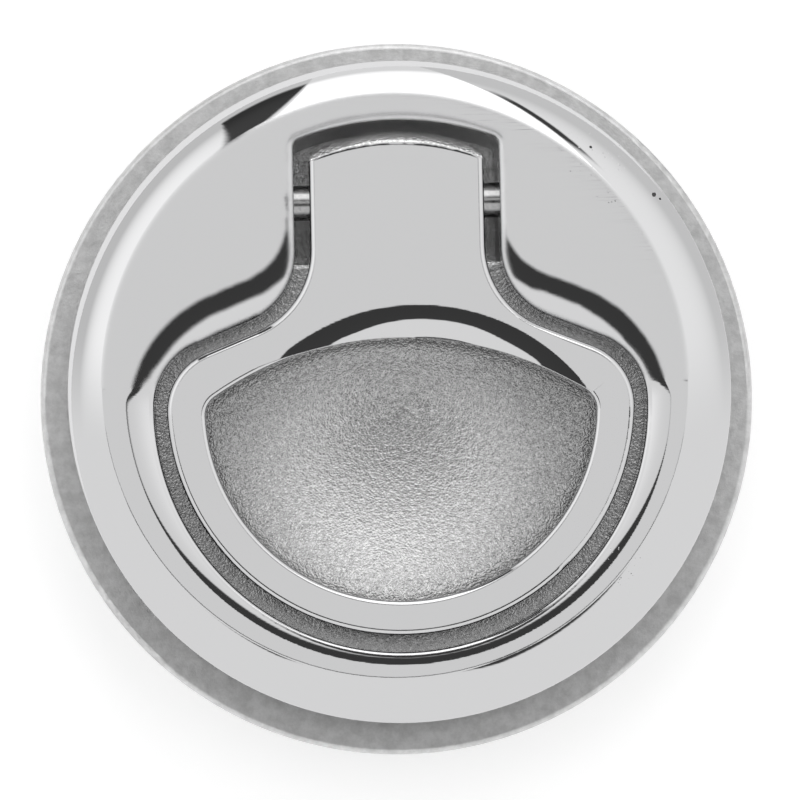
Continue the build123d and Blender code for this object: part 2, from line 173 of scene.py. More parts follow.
# What the cast skin and the flaws add to the polish's roughness, and the flaws' dark tone
ROUGH_MORE = 0.22
FLAW_TONE = 0.08

# The tent, in tangents from straight up: where the dark gap round the camera's opening starts and ends
GAP_START = 0.152
GAP_START_RIGHT = 0.132
GAP_START_GRIP = 0.128
GAP_START_LAMP = 0.147
GAP_NARROW_END = 0.165
GAP_WIDE_END = 0.58
GAP_GRIP_END = 0.47
GAP_LAMP_END = 0.3

# The lamp: its near edge, how far its sides would pass from the middle and how they lean, and its light,
# which fades towards the horizon to a share
LAMP_NEAR = (0.44, 0.5)
LAMP_RIGHT = 0.48
LAMP_RIGHT_LEAN = 0.1
LAMP_LEFT = 0.12
LAMP_LEFT_LEAN = -0.21
LAMP_LIGHT = 0.9
LAMP_FADE = (3.0, 8.0)
LAMP_FAR_SHARE = 0.25

# The dark flags beside the lamp: the right one's width, where each starts and stops, the left one's slant
RIGHT_FLAG_W = (0.1, 0.16)
RIGHT_FLAG_FROM = (0.7, 0.9)
RIGHT_FLAG_TO = (1.6, 2.5)
LEFT_FLAG_FROM = (0.5, 0.6)
LEFT_FLAG_TO = (5.0, 9.0)
LEFT_FLAG_SLANT = 0.56

# The tent's light round the camera and beyond, what its lamp's side and the left of that have more of it
# overhead and less of it towards the horizon, and what is left in the gap and on the flags
TENT_NEAR = 0.95
TENT_FAR = 1.04
LAMP_SIDE_MORE = 0.16
LAMP_SIDE_LESS = 0.36
LEFT_MORE = 0.2
LEFT_LESS = 0.26
HORIZON = (0.8, 4.0)
DARK_SHARE = 0.06

# The floor: half its width, how far it lies under the rear plate, its white and its glow
FLOOR_HALF = 3.0
FLOOR_GAP = 0.02 * MM
FLOOR_WHITE = 0.8
FLOOR_GLOW = 0.37

# Where the camera stands in plan, and the place that it looks at
CAMERA_X = -11.4 * MM
CAMERA_Y = -24.9 * MM
CAMERA_AIM = (-0.04 * MM, -0.92 * MM, 0.8 * MM)


class LatchFinishes(bpy.types.PropertyGroup):
    polish_color: FloatVectorProperty(
        name="Polished steel", description="Reflected colour of the mirror-polished castings",
        subtype="COLOR", size=3, min=0, max=1, default=(0.62, 0.62, 0.625),
    )
    cast_color: FloatVectorProperty(
        name="Cast steel", description="Colour of the sand-cast surfaces that weren't polished",
        subtype="COLOR", size=3, min=0, max=1, default=(0.36, 0.36, 0.36),
    )
    # Painted light: a paler cast colour painted on the dish's middle so that it looks lit
    dish_painted_light_color: FloatVectorProperty(
        name="Worn cast steel", description="Colour of the dish's middle, where fingers rub it",
        subtype="COLOR", size=3, min=0, max=1, default=(0.51, 0.51, 0.51),
    )
    # Painted light: a much paler copy of the cast colour, which brightens the well's shaded walls at the
    # pivot
    well_painted_light_color: FloatVectorProperty(
        name="Cast steel in the well", description="Colour of the cast walls at the pivot",
        subtype="COLOR", size=3, min=0, max=1, default=(0.8, 0.8, 0.8),
    )
    tumbled_color: FloatVectorProperty(
        name="Tumbled steel", description="Colour of the matte ring nut",
        subtype="COLOR", size=3, min=0, max=1, default=(0.62, 0.62, 0.62),
    )
    polish_roughness: FloatProperty(
        name="Polish roughness", description="How far the polished steel blurs what it mirrors",
        subtype="FACTOR", min=0, max=1, default=0.03,
    )


class LatchThread(bpy.types.PropertyGroup):
    pitch: FloatProperty(
        name="Pitch", description="Rise of the barrel's thread in one turn", unit="LENGTH", default=1.5 * MM,
    )
    depth: FloatProperty(
        name="Depth", description="Height of the thread over the barrel", unit="LENGTH", default=0.33 * MM,
    )
    start_z: FloatProperty(
        name="Top", description="Height of the thread's start", unit="LENGTH", default=-2.4 * MM,
    )
    start_angle: FloatProperty(
        name="Start", description="Where it starts round the barrel, past the pin's bore",
        unit="ROTATION", default=math.radians(133),
    )
    end_z: FloatProperty(
        name="Bottom", description="Height of its last turn, over the nut", unit="LENGTH", default=-8.2 * MM,
    )
    run_out: FloatProperty(
        name="Run-out", description="Turns over which the thread fades at its ends", min=0.01, default=0.3,
    )
    facets: IntProperty(name="Facets", description="Faces in one turn", min=12, default=90)


class LatchSprings(bpy.types.PropertyGroup):
    bolt_coil: FloatProperty(
        name="Bolt coil", description="Radius of the bolt spring's coil", unit="LENGTH", default=2.1 * MM,
    )
    bolt_wire: FloatProperty(
        name="Bolt wire", description="Diameter of the bolt spring's wire", unit="LENGTH", default=0.8 * MM,
    )
    bolt_turns: IntProperty(
        name="Bolt turns", description="Open turns of the bolt spring", min=1, default=9,
    )
    bolt_from: FloatProperty(
        name="Bolt start", description="Y of its seat in the housing", unit="LENGTH", default=-22.45 * MM,
    )
    bolt_to: FloatProperty(
        name="Bolt end", description="Y of its seat in the bolt", unit="LENGTH", default=10.95 * MM,
    )
    bolt_z: FloatProperty(
        name="Bolt height", description="Z of the bolt spring's axis", unit="LENGTH", default=-18.4 * MM,
    )
    bolt_travel: FloatProperty(
        name="Bolt travel", description="How far the bolt is drawn back", unit="LENGTH", default=8.1 * MM,
    )
    closer_coil: FloatProperty(
        name="Closing coil", description="Radius of the closing spring's coil",
        unit="LENGTH", default=2.35 * MM,
    )
    closer_wire: FloatProperty(
        name="Closing wire", description="Diameter of its wire", unit="LENGTH", default=0.7 * MM,
    )
    closer_turns: IntProperty(
        name="Closing turns", description="Whole turns round the pin", min=1, default=2,
    )
    closer_pitch: FloatProperty(
        name="Closing pitch", description="Rise of its coil in one turn", unit="LENGTH", default=0.76 * MM,
    )
    closer_x: FloatProperty(
        name="Closing start", description="X of its first turn", unit="LENGTH", default=-6.15 * MM,
    )
    closer_wall_y: FloatProperty(
        name="Wall", description="Y of its arm's end on the shelf's wall", unit="LENGTH", default=12.45 * MM,
    )
    closer_foot_y: FloatProperty(
        name="Foot Y", description="Y of its other arm's end on the leg", unit="LENGTH", default=15.8 * MM,
    )
    closer_foot_z: FloatProperty(
        name="Foot Z", description="Z of that end", unit="LENGTH", default=-5.9 * MM,
    )
    closer_end_x: FloatProperty(
        name="Foot X", description="X of that end", unit="LENGTH", default=-1.0 * MM,
    )


class LatchStudio(bpy.types.PropertyGroup):
    camera_distance: FloatProperty(
        name="Camera distance", description="Height of the camera over the bezel's face",
        unit="LENGTH", min=0.1, default=0.385,
    )
    camera_lens: FloatProperty(
        name="Lens", description="Focal length on a 36 mm wide sensor", min=20, default=181.0,
    )
    camera_roll: FloatProperty(
        name="Roll", description="Turn of the camera about its own axis",
        unit="ROTATION", default=math.radians(1.2),
    )


class Shader:
    """A material's nodes, added and joined with few words."""

    def __init__(self, owner, output="ShaderNodeOutputMaterial"):
        owner.use_nodes = True
        self.tree = owner.node_tree
        self.tree.nodes.clear()
        self.output = self.add(output)

    def add(self, kind, **settings):
        node = self.tree.nodes.new(kind)
        for name, value in settings.items():
            setattr(node, name, value)
        return node

    def join(self, source, target):
        self.tree.links.new(source, target)

    def put(self, value, socket):
        """Join another node's output to a socket, or set the socket to a number or a colour."""
        if isinstance(value, bpy.types.NodeSocket):
            self.join(value, socket)
        elif isinstance(value, tuple):
            socket.default_value = (*value, 1)
        else:
            socket.default_value = value

    def position(self):
        return self.add("ShaderNodeTexCoord").outputs["Object"]

    def noise(self, where, scale, detail=3.0, roughness=0.5, stretch=None):
        node = self.add("ShaderNodeTexNoise")
        node.inputs["Scale"].default_value = scale
        node.inputs["Detail"].default_value = detail
        node.inputs["Roughness"].default_value = roughness
        if stretch:
            mapping = self.add("ShaderNodeMapping")
            mapping.inputs["Scale"].default_value = stretch
            self.join(where, mapping.inputs["Vector"])
            where = mapping.outputs["Vector"]
        self.join(where, node.inputs["Vector"])
        return node.outputs["Fac"]

    def cells(self, where, scale):
        node = self.add("ShaderNodeTexVoronoi")
        node.inputs["Scale"].default_value = scale
        self.join(where, node.inputs["Vector"])
        return node.outputs["Distance"]

    def span(self, value, low, high, out_low=0.0, out_high=1.0, smooth=True):
        node = self.add("ShaderNodeMapRange", interpolation_type="SMOOTHSTEP" if smooth else "LINEAR")
        node.inputs["From Min"].default_value = low
        node.inputs["From Max"].default_value = high
        node.inputs["To Min"].default_value = out_low
        node.inputs["To Max"].default_value = out_high
        self.join(value, node.inputs["Value"])
        return node.outputs["Result"]

    def fade(self, value, low, high):
        """One below low, nothing above high."""
        return self.span(value, low, high, 1.0, 0.0)

    def math(self, operation, first, second=None, clamp=False):
        node = self.add("ShaderNodeMath", operation=operation, use_clamp=clamp)
        self.put(first, node.inputs[0])
        if second is not None:
            self.put(second, node.inputs[1])
        return node.outputs["Value"]

    def axes(self, where):
        node = self.add("ShaderNodeSeparateXYZ")
        self.join(where, node.inputs["Vector"])
        return node.outputs["X"], node.outputs["Y"], node.outputs["Z"]

    def distance(self, where, centre):
        """Distance in plan from a place given as (x, y)."""
        x, y, z = self.axes(where)
        return self.hypot(self.math("SUBTRACT", x, centre[0]), self.math("SUBTRACT", y, centre[1]))

    def mix(self, share, first, second):
        node = self.add("ShaderNodeMix", data_type="RGBA")
        self.join(share, node.inputs["Factor"])
        self.put(first, node.inputs[6])
        self.put(second, node.inputs[7])
        return node.outputs[2]

    def product(self, first, *others):
        for other in others:
            first = self.math("MULTIPLY", first, other)
        return first

    def total(self, first, *others):
        for other in others:
            first = self.math("ADD", first, other)
        return first

    def hypot(self, first, second):
        squares = [self.math("MULTIPLY", side, side) for side in (first, second)]
        return self.math("SQRT", self.total(*squares))

    def vector(self, *parts):
        node = self.add("ShaderNodeCombineXYZ")
        for index, part in enumerate(parts):
            self.put(part, node.inputs[index])
        return node.outputs["Vector"]

    def blend_vectors(self, share, first, second):
        node = self.add("ShaderNodeMix", data_type="VECTOR")
        self.join(share, node.inputs["Factor"])
        self.join(first, node.inputs[4])
        self.join(second, node.inputs[5])
        return node.outputs[1]

    def softened(self, radius):
        """The normal averaged over a small radius, as a polishing wheel rounds an edge."""
        node = self.add("ShaderNodeBevel", samples=6)
        node.inputs["Radius"].default_value = radius
        return node.outputs["Normal"]

    def bump(self, height, distance, strength=1.0, under=None):
        node = self.add("ShaderNodeBump")
        node.inputs["Distance"].default_value = distance
        node.inputs["Strength"].default_value = strength
        self.join(height, node.inputs["Height"])
        if under is not None:
            self.join(under, node.inputs["Normal"])
        return node.outputs["Normal"]

    def surface(self, color, roughness, normal, metallic=1.0):
        node = self.add("ShaderNodeBsdfPrincipled")
        node.inputs["Metallic"].default_value = metallic
        self.put(color, node.inputs["Base Color"])
        self.put(roughness, node.inputs["Roughness"])
        self.put(normal, node.inputs["Normal"])
        self.join(node.outputs["BSDF"], self.output.inputs["Surface"])


def finish_named(name):
    return bpy.data.materials.get(name) or bpy.data.materials.new(name)


def grey(level):
    return (level, level, level)


def cast_relief(s, where):
    """Height of a sand-cast skin: fine close grains with some deeper pits."""
    grain = s.noise(where, CAST_GRAIN, 1.0, 0.5)
    lumps = s.noise(where, CAST_LUMPS, 2.0, 0.5)
    pits = s.span(s.cells(where, CAST_PITS), 0.0, 0.25)
    return s.total(grain, s.math("MULTIPLY", lumps, LUMP_SHARE), s.math("MULTIPLY", pits, PIT_SHARE))


def cast_tone(s, where, color):
    """A cast colour, mottled between a darker and a paler one."""
    mottle = s.span(s.noise(where, CAST_MOTTLE, 3.0, 0.7), 0.3, 0.7)
    return s.mix(mottle, tuple(c * 0.88 for c in color), tuple(min(1.0, c * 1.1) for c in color))


def leaning(s, x, y, slope, radius):
    """The normal of a surface that leans away from the axis by a slope."""
    lean = s.math("DIVIDE", slope, radius)
    turned = s.add("ShaderNodeVectorTransform", vector_type="NORMAL")
    turned.convert_from = "OBJECT"
    turned.convert_to = "WORLD"
    s.join(s.vector(s.math("MULTIPLY", x, lean), s.math("MULTIPLY", y, lean), 1.0), turned.inputs[0])
    return turned.outputs[0]


def flare_normal(s, x, y, z, radius):
    """The flare's normal where it follows a circle, and where that holds."""
    run = s.math("MINIMUM", s.math("MAXIMUM", s.math("SUBTRACT", FLARE_R, radius), 0.0), 0.8 * FLARE_W)
    left = s.math("SQRT", s.math("SUBTRACT", FLARE_W * FLARE_W, s.math("MULTIPLY", run, run)))
    slope = s.math("MULTIPLY", s.math("DIVIDE", run, left), -FLARE_FLATNESS)
    from_recess = s.hypot(x, s.math("SUBTRACT", y, RECESS_Y))
    share = s.product(
        s.span(z, FACE_Z - 1.4 * MM, FACE_Z - 1.2 * MM),
        s.span(from_recess, RECESS_R + RIM_W, RECESS_R + RIM_W + 0.1 * MM),
        s.fade(radius, FLARE_R + 0.02 * MM, FLARE_R + 0.08 * MM),
        s.fade(y, -1.5 * MM, 0.5 * MM),
    )
    return share, leaning(s, x, y, slope, radius)


def dome_normal(s, x, y, z, radius):
    """The dome's normal, whose circles drift from the crease's centre to the axis, and where it holds."""
    towards = s.math("DIVIDE", s.math("MULTIPLY", s.math("SUBTRACT", y, x), CREASE_SHIFT), radius)
    room = s.math("SUBTRACT", DOME_W, towards)
    past_crease = s.math("SUBTRACT", s.math("SUBTRACT", radius, towards), CREASE_R)
    share = s.math("MAXIMUM", s.math("DIVIDE", past_crease, room, clamp=True), 0.0)
    back = s.math("MULTIPLY", s.math("SUBTRACT", 1.0, share), CREASE_SHIFT)
    x, y = s.math("ADD", x, back), s.math("SUBTRACT", y, back)
    sine = s.math("ADD", math.sin(CREASE_SLOPE), s.math("MULTIPLY", share, DOME_W / DOME_ARC_R))
    cosine = s.math("SQRT", s.math("SUBTRACT", 1.0, s.math("MULTIPLY", sine, sine)))
    slope = s.math("DIVIDE", s.math("MULTIPLY", s.math("DIVIDE", sine, cosine), DOME_W), room)
    holds = s.product(
        s.span(share, 0.025, 0.04), s.fade(share, 0.96, 0.98), s.span(z, 1.15 * MM, 1.2 * MM),
    )
    return holds, leaning(s, x, y, slope, s.hypot(x, y))


def bezel_normal(s, where):
    """The exact lean of the bezel's rings, which facets only come near to, with softened edges between."""
    x, y, z = s.axes(where)
    radius = s.math("MAXIMUM", s.hypot(x, y), MM)
    above = s.span(z, FACE_Z - 1.4 * MM, FACE_Z - 1.2 * MM)
    on_shoulders = s.math("MULTIPLY", above, s.span(y, 0.0, 1.0 * MM))
    normal = s.blend_vectors(on_shoulders, s.softened(EDGE_SOFTNESS), s.softened(FACET_SOFTNESS))
    for share, exact in (flare_normal(s, x, y, z, radius), dome_normal(s, x, y, z, radius)):
        normal = s.blend_vectors(share, normal, exact)
    return normal


def well_mask(s, where):
    """The well at the pivot, inside the recess's end wall."""
    x, y, z = s.axes(where)
    inside = s.fade(s.hypot(x, y), WELL_R, WELL_R + 0.1 * MM)
    return s.math("MULTIPLY", s.span(y, SHELF_LIP_Y - 0.4 * MM, SHELF_LIP_Y + 0.2 * MM), inside)


def relief_strength(s, where, in_well):
    """How high the cast grain stands: low on the shelf and in the dish's middle, where fingers rub it."""
    x, y, z = s.axes(where)
    off_shelf = s.span(z, SHELF_Z - 0.3 * MM, SHELF_Z - 0.1 * MM, 1.0, SHELF_RELIEF)
    off_middle = s.span(s.distance(where, DISH_MIDDLE), *RUBBED_GRAIN, RUBBED_RELIEF, EDGE_RELIEF)
    return s.math("MAXIMUM", s.math("MULTIPLY", off_middle, off_shelf), in_well)


def cast_skin_color(s, where, in_well):
    """The cast skin's colour, with painted light in it: painted paler in the dish's middle and much paler in
    the well.
    """
    sizes = bpy.context.scene.latch_finishes
    # The well's tone is painted light, far paler than the cast skin elsewhere
    colors = (sizes.cast_color, sizes.dish_painted_light_color, sizes.well_painted_light_color)
    plain, painted_light_tone, well = (cast_tone(s, where, color) for color in colors)
    # Painted light: the dish's middle fades to the paler tone, a painted brightening
    painted_light_share = s.fade(s.distance(where, DISH_MIDDLE), *PAINTED_LIGHT_SPAN)
    return s.mix(in_well, s.mix(painted_light_share, plain, painted_light_tone), well)


def polished_finish(name, cast_mask, exact_normal=None):
    """Mirror polish with a hand polisher's waves; the part that cast_mask picks stays sand-cast."""
    sizes = bpy.context.scene.latch_finishes
    s = Shader(finish_named(name))
    where = s.position()
    mask = cast_mask(s, where)
    flaws = flaw_mask(s, where)
    in_well = well_mask(s, where)
    strokes = s.noise(where, STROKES, 2.0, 0.6, stretch=(0.04, 1.0, 1.0))
    smooth = exact_normal(s, where) if exact_normal else s.softened(EDGE_SOFTNESS)
    normal = s.bump(s.noise(where, WAVES, 1.0), WAVE_HEIGHT, 0.5, smooth)
    normal = s.bump(strokes, STROKE_HEIGHT, 0.5, normal)
    normal = s.bump(s.math("SUBTRACT", 1.0, flaws), FLAW_DEPTH, 0.8, normal)
    skin = s.product(cast_relief(s, where), relief_strength(s, where, in_well), mask)
    normal = s.bump(skin, CAST_HEIGHT, 1.0, normal)
    color = s.mix(mask, tuple(sizes.polish_color), cast_skin_color(s, where, in_well))
    color = s.mix(flaws, color, grey(FLAW_TONE))
    rough = s.span(strokes, 0.3, 0.7, sizes.polish_roughness * 0.8, sizes.polish_roughness * 1.2)
    rough = s.math("ADD", rough, s.math("MULTIPLY", s.math("MAXIMUM", mask, flaws), ROUGH_MORE))
    s.surface(color, rough, normal)
    return bpy.data.materials[name]


def flaw_mask(s, where):
    """Nicks, one pitted spot and a faintly mottled one on the polished face."""
    found = None
    for centre, radius in NICKS:
        ragged = s.math("MULTIPLY", s.noise(where, NICK_EDGE, 2.0), radius * 0.9)
        reach = s.math("ADD", s.distance(where, centre), ragged)
        spot = s.fade(reach, radius * 1.1, radius * 1.5)
        found = spot if found is None else s.math("MAXIMUM", found, spot)
    pores = s.fade(s.cells(where, PORES), 0.12, 0.2)
    for (centre, radius), share in ((PITTED_SPOT, 0.9), (MOTTLED_SPOT, 0.25)):
        patch = s.span(s.distance(where, centre), radius * 0.3, radius, share, 0.0)
        thinned = s.span(s.noise(where, PORE_PATCHES, 2.0), 0.5, 0.62)
        found = s.math("MAXIMUM", found, s.product(pores, thinned, patch))
    return found


def housing_cast_mask(s, where):
    """The finger dish, the shelf, the well at the pivot and its end wall."""
    x, y, z = s.axes(where)
    low = s.fade(z, SHELF_Z + 0.15 * MM, SHELF_Z + 0.45 * MM)
    inside = s.fade(s.hypot(x, y), WELL_R + 0.04 * MM, WELL_R + 0.1 * MM)
    at_end = s.span(y, PIN_Y + 3 * MM, PIN_Y + 4 * MM)
    under_face = s.fade(z, FACE_Z - 0.7 * MM, FACE_Z - 0.5 * MM)
    return s.math("MAXIMUM", low, s.product(inside, at_end, under_face))


def pull_cast_mask(s, where):
    """The pull's underside and leg, and its rear end behind the polished face."""
    x, y, z = s.axes(where)
    low = s.fade(z, SHELF_Z - 0.2 * MM, SHELF_Z + 0.4 * MM)
    radius = s.hypot(x, s.math("SUBTRACT", y, HEEL_Y))
    ragged = s.math("MULTIPLY", s.noise(where, HEEL_EDGE, 3.0, 0.7), 0.35 * MM)
    past_face = s.span(s.math("ADD", radius, ragged), HEEL_R + 0.3 * MM, HEEL_R + 0.42 * MM)
    return s.math("MAXIMUM", low, s.math("MULTIPLY", past_face, s.span(y, PIN_Y, PIN_Y + MM)))


def turned_finish(name, color, roughness, pitch):
    """Lathe-turned steel: fine rings across the axis."""
    s = Shader(finish_named(name))
    where = s.position()
    rings = s.noise(where, 1 / pitch, 2.0, 0.6, stretch=(0.02, 0.02, 1.0))
    cloud = s.noise(where, TURNED_CLOUD, 3.0, 0.6)
    tone = s.mix(s.span(cloud, 0.3, 0.7), tuple(c * 0.85 for c in color), color)
    rough = s.span(rings, 0.3, 0.7, roughness * 0.8, roughness * 1.25)
    s.surface(tone, rough, s.bump(rings, RING_HEIGHT, 0.6))
    return bpy.data.materials[name]


def matte_finish(name, color, roughness, grain, height):
    """Tumbled, cast or rolled steel: a matte grain so many to the metre, and clouds three times as wide."""
    s = Shader(finish_named(name))
    where = s.position()
    grains = s.noise(where, grain, 4.0, 0.65)
    shade = s.span(s.noise(where, grain / 3, 4.0, 0.7), 0.25, 0.75)
    tone = s.mix(shade, tuple(c * 0.82 for c in color), tuple(min(1.0, c * 1.08) for c in color))
    rough = s.span(grains, 0.2, 0.8, roughness * 0.85, roughness * 1.15)
    s.surface(tone, rough, s.bump(grains, height, 0.5))
    return bpy.data.materials[name]


def drawn_finish(name, color, roughness):
    """Drawn or ground wire and rod: smooth, with a faint cloud."""
    s = Shader(finish_named(name))
    where = s.position()
    cloud = s.noise(where, WIRE_CLOUD, 3.0, 0.6)
    tone = s.mix(s.span(cloud, 0.3, 0.7), tuple(c * 0.8 for c in color), color)
    rough = s.span(cloud, 0.3, 0.7, roughness * 0.8, roughness * 1.3)
    s.surface(tone, rough, s.bump(cloud, WIRE_HEIGHT, 0.5))
    return bpy.data.materials[name]


def rubber_finish(name):
    """Black rubber sheet with a faint grain."""
    s = Shader(finish_named(name))
    where = s.position()
    grain = s.noise(where, RUBBER_GRAIN, 3.0)
    tone = s.mix(grain, grey(0.02), grey(0.05))
    s.surface(tone, 0.75, s.bump(grain, RUBBER_HEIGHT, 0.4), metallic=0.0)
    return bpy.data.materials[name]


def dress(node, material):
    """Give a solid's node a material in place of the plain one that it came with."""
    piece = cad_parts[node]
    piece.data.materials.clear()
    piece.data.materials.append(material)


class Wire:
    """A round wire drawn ring by ring, straight or round a centre."""

    def __init__(self, name, start, normal, radius, sides=10):
        self.name = name
        self.mesh = bmesh.new()
        ring = bmesh.ops.create_circle(self.mesh, segments=sides, radius=radius)
        turn = Vector((0, 0, 1)).rotation_difference(Vector(normal)).to_matrix().to_4x4()
        bmesh.ops.transform(self.mesh, matrix=Matrix.Translation(start) @ turn, verts=ring["verts"])
        self.end = self.mesh.edges[:]

    def straight(self, step):
        drawn = bmesh.ops.extrude_edge_only(self.mesh, edges=self.end)["geom"]
        moved = [v for v in drawn if isinstance(v, bmesh.types.BMVert)]
        bmesh.ops.translate(self.mesh, verts=moved, vec=step)
        edges = [e for e in drawn if isinstance(e, bmesh.types.BMEdge)]
        self.end = [e for e in edges if all(v in moved for v in e.verts)]

    def bend(self, centre, axis, angle, steps, rise=(0, 0, 0)):
        step = Vector(rise) / steps
        drawn = bmesh.ops.spin(
            self.mesh, geom=self.end, cent=centre, axis=axis, angle=angle, steps=steps, dvec=step,
        )["geom_last"]
        self.end = [e for e in drawn if isinstance(e, bmesh.types.BMEdge)]

    def finish(self, material):
        bmesh.ops.holes_fill(self.mesh, edges=self.mesh.edges[:], sides=0)
        return piece_from(self.mesh, self.name, material)


def piece_from(mesh, name, material):
    """Close a bmesh into an object of its own, smooth where its faces meet softly."""
    bmesh.ops.remove_doubles(mesh, verts=mesh.verts, dist=0.001 * MM)
    bmesh.ops.recalc_face_normals(mesh, faces=mesh.faces)
    for face in mesh.faces:
        face.smooth = True
    for edge in mesh.edges:
        edge.smooth = edge.calc_face_angle(0.0) < SHARP_ANGLE
    data = bpy.data.meshes.new(name)
    mesh.to_mesh(data)
    mesh.free()
    data.materials.append(material)
    piece = bpy.data.objects.new(name, data)
    bpy.context.scene.collection.objects.link(piece)
    return piece


class LATCH_OT_castings(bpy.types.Operator):
    """Finish the housing, the pull and the pin"""
    bl_idname = "latch.castings"
    bl_label = "Polished castings"

    def execute(self, context):
        dress("housing", polished_finish("polished_housing", housing_cast_mask, bezel_normal))
        dress("pull_handle", polished_finish("polished_pull", pull_cast_mask))
        dress("pivot_pin", drawn_finish("ground_pin", grey(0.45), roughness=0.2))
        return {"FINISHED"}


def thread_mesh(sizes):
    """The thread's ridge, wound down the barrel right-handed and faded out at both ends."""
    root = BARREL_R - THREAD_SEAT
    crest = BARREL_R + sizes.depth
    top, bottom = sizes.start_z, sizes.end_z
    turns = (top - bottom) / sizes.pitch
    steps = round(turns * sizes.facets)
    mesh = bmesh.new()
    outline = ((root, THREAD_FOOT), (crest, THREAD_CREST), (crest, -THREAD_CREST), (root, -THREAD_FOOT))
    corners = [mesh.verts.new((radius, 0, top + share * sizes.pitch)) for radius, share in outline]
    ring = [mesh.edges.new((corners[i], corners[(i + 1) % 4])) for i in range(4)]
    turn = Matrix.Rotation(sizes.start_angle, 3, "Z")
    bmesh.ops.rotate(mesh, verts=corners, cent=(0, 0, 0), matrix=turn)
    drop = Vector((0, 0, bottom - top)) / steps
    bmesh.ops.spin(
        mesh, geom=ring, cent=(0, 0, 0), axis=(0, 0, 1), angle=-turns * math.tau, steps=steps, dvec=drop,
    )
    bmesh.ops.holes_fill(mesh, edges=mesh.edges[:], sides=0)
    for vert in mesh.verts:
        radius = vert.co.xy.length
        turned = min(top - vert.co.z, vert.co.z - bottom) / sizes.pitch
        height = min(1.0, max(THREAD_END_SHARE, turned / sizes.run_out))
        if radius > root + 0.001 * MM:
            vert.co.xy *= (root + (radius - root) * height) / radius
    return mesh


class LATCH_OT_thread(bpy.types.Operator):
    """Wind the clamp nut's thread round the barrel"""
    bl_idname = "latch.thread"
    bl_label = "Barrel thread"

    def execute(self, context):
        steel = turned_finish("turned_thread", grey(0.5), roughness=0.28, pitch=0.1 * MM)
        thread = piece_from(thread_mesh(context.scene.latch_thread), "barrel_thread", steel)
        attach(thread, "housing")
        return {"FINISHED"}


def bolt_spring(sizes, steel):
    """The bolt's compression spring, which squashes as the bolt is drawn back."""
    wire_r = sizes.bolt_wire / 2
    start = Vector((sizes.bolt_coil, sizes.bolt_from + wire_r, sizes.bolt_z))
    middle = (0, 0, sizes.bolt_z)
    wire = Wire("bolt_spring_wire", start, (0, 0, 1), wire_r)
    closed = sizes.bolt_wire * CLOSED_PITCH
    open_run = sizes.bolt_to - sizes.bolt_from - 2 * closed - sizes.bolt_wire
    for turns, rise in ((1, closed), (sizes.bolt_turns, open_run), (1, closed)):
        wire.bend(middle, (0, 1, 0), turns * math.tau, COIL_FACETS * turns, (0, rise, 0))
    coil = wire.finish(steel)
    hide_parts("bolt_spring")
    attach(coil, "housing")
    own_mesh(coil)


def closing_spring(sizes, steel):
    """The pull's torsion spring: an arm on the shelf's wall, the turns round the pin, an arm on the leg."""
    wire_r = sizes.closer_wire / 2
    coil_r = sizes.closer_coil
    low_z = PIN_Z - coil_r
    left_x = sizes.closer_x
    wire = Wire("closing_spring", (left_x, sizes.closer_wall_y, low_z), (0, 1, 0), wire_r)
    wire.straight((0, PIN_Y - sizes.closer_wall_y, 0))
    tilt = math.asin((PIN_Y - sizes.closer_foot_y - coil_r) / (PIN_Z - sizes.closer_foot_z))
    turns = sizes.closer_turns + (0.75 - tilt / math.tau)
    rise = sizes.closer_pitch * turns
    wire.bend((0, PIN_Y, PIN_Z), (1, 0, 0), turns * math.tau, round(COIL_FACETS * turns), (rise, 0, 0))
    right_x = left_x + rise
    leave = Vector((right_x, PIN_Y - coil_r * math.cos(tilt), PIN_Z + coil_r * math.sin(tilt)))
    bend_r = ELBOW_R * sizes.closer_wire
    foot = Vector((right_x, sizes.closer_foot_y, sizes.closer_foot_z + bend_r))
    wire.straight(foot - leave)
    wire.bend((right_x + bend_r, foot.y, foot.z), (0, -1, 0), math.pi / 2, ELBOW_FACETS)
    wire.straight((sizes.closer_end_x - right_x - bend_r, 0, 0))
    closer = wire.finish(steel)
    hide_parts("handle_spring")
    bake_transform(closer)


class LATCH_OT_springs(bpy.types.Operator):
    """Wind the bolt's spring and the pull's closing spring"""
    bl_idname = "latch.springs"
    bl_label = "Springs"

    def execute(self, context):
        sizes = context.scene.latch_springs
        steel = drawn_finish("spring_wire", (0.42, 0.42, 0.43), roughness=0.22)
        bolt_spring(sizes, steel)
        closing_spring(sizes, steel)
        return {"FINISHED"}


class LATCH_OT_works(bpy.types.Operator):
    """Finish the nut, the bolt, the rear plate, its screws and the gasket"""
    bl_idname = "latch.works"
    bl_label = "Nut, bolt and rear"

    def execute(self, context):
        tumbled = tuple(context.scene.latch_finishes.tumbled_color)
        dress("ring_nut", matte_finish("tumbled_nut", tumbled, 0.42, grain=2400, height=0.05 * MM))
        dress("latch_bolt", matte_finish("cast_bolt", grey(0.46), 0.4, grain=900, height=0.06 * MM))
        dress("rear_plate", matte_finish("rolled_plate", grey(0.52), 0.3, grain=1500, height=0.02 * MM))
        dress("rear_plate_screws", turned_finish("turned_screws", grey(0.6), 0.22, pitch=0.2 * MM))
        dress("bezel_gasket", rubber_finish("gasket_rubber_sheet"))
        return {"FINISHED"}


class LATCH_OT_studio(bpy.types.Operator):
    """Set up the floor, the light and the camera"""
    bl_idname = "latch.studio"
    bl_label = "Studio"

    def execute(self, context):
        scene = context.scene
        studio_world(scene)
        floor()
        camera(scene)
        scene.view_settings.view_transform = "Standard"
        return {"FINISHED"}


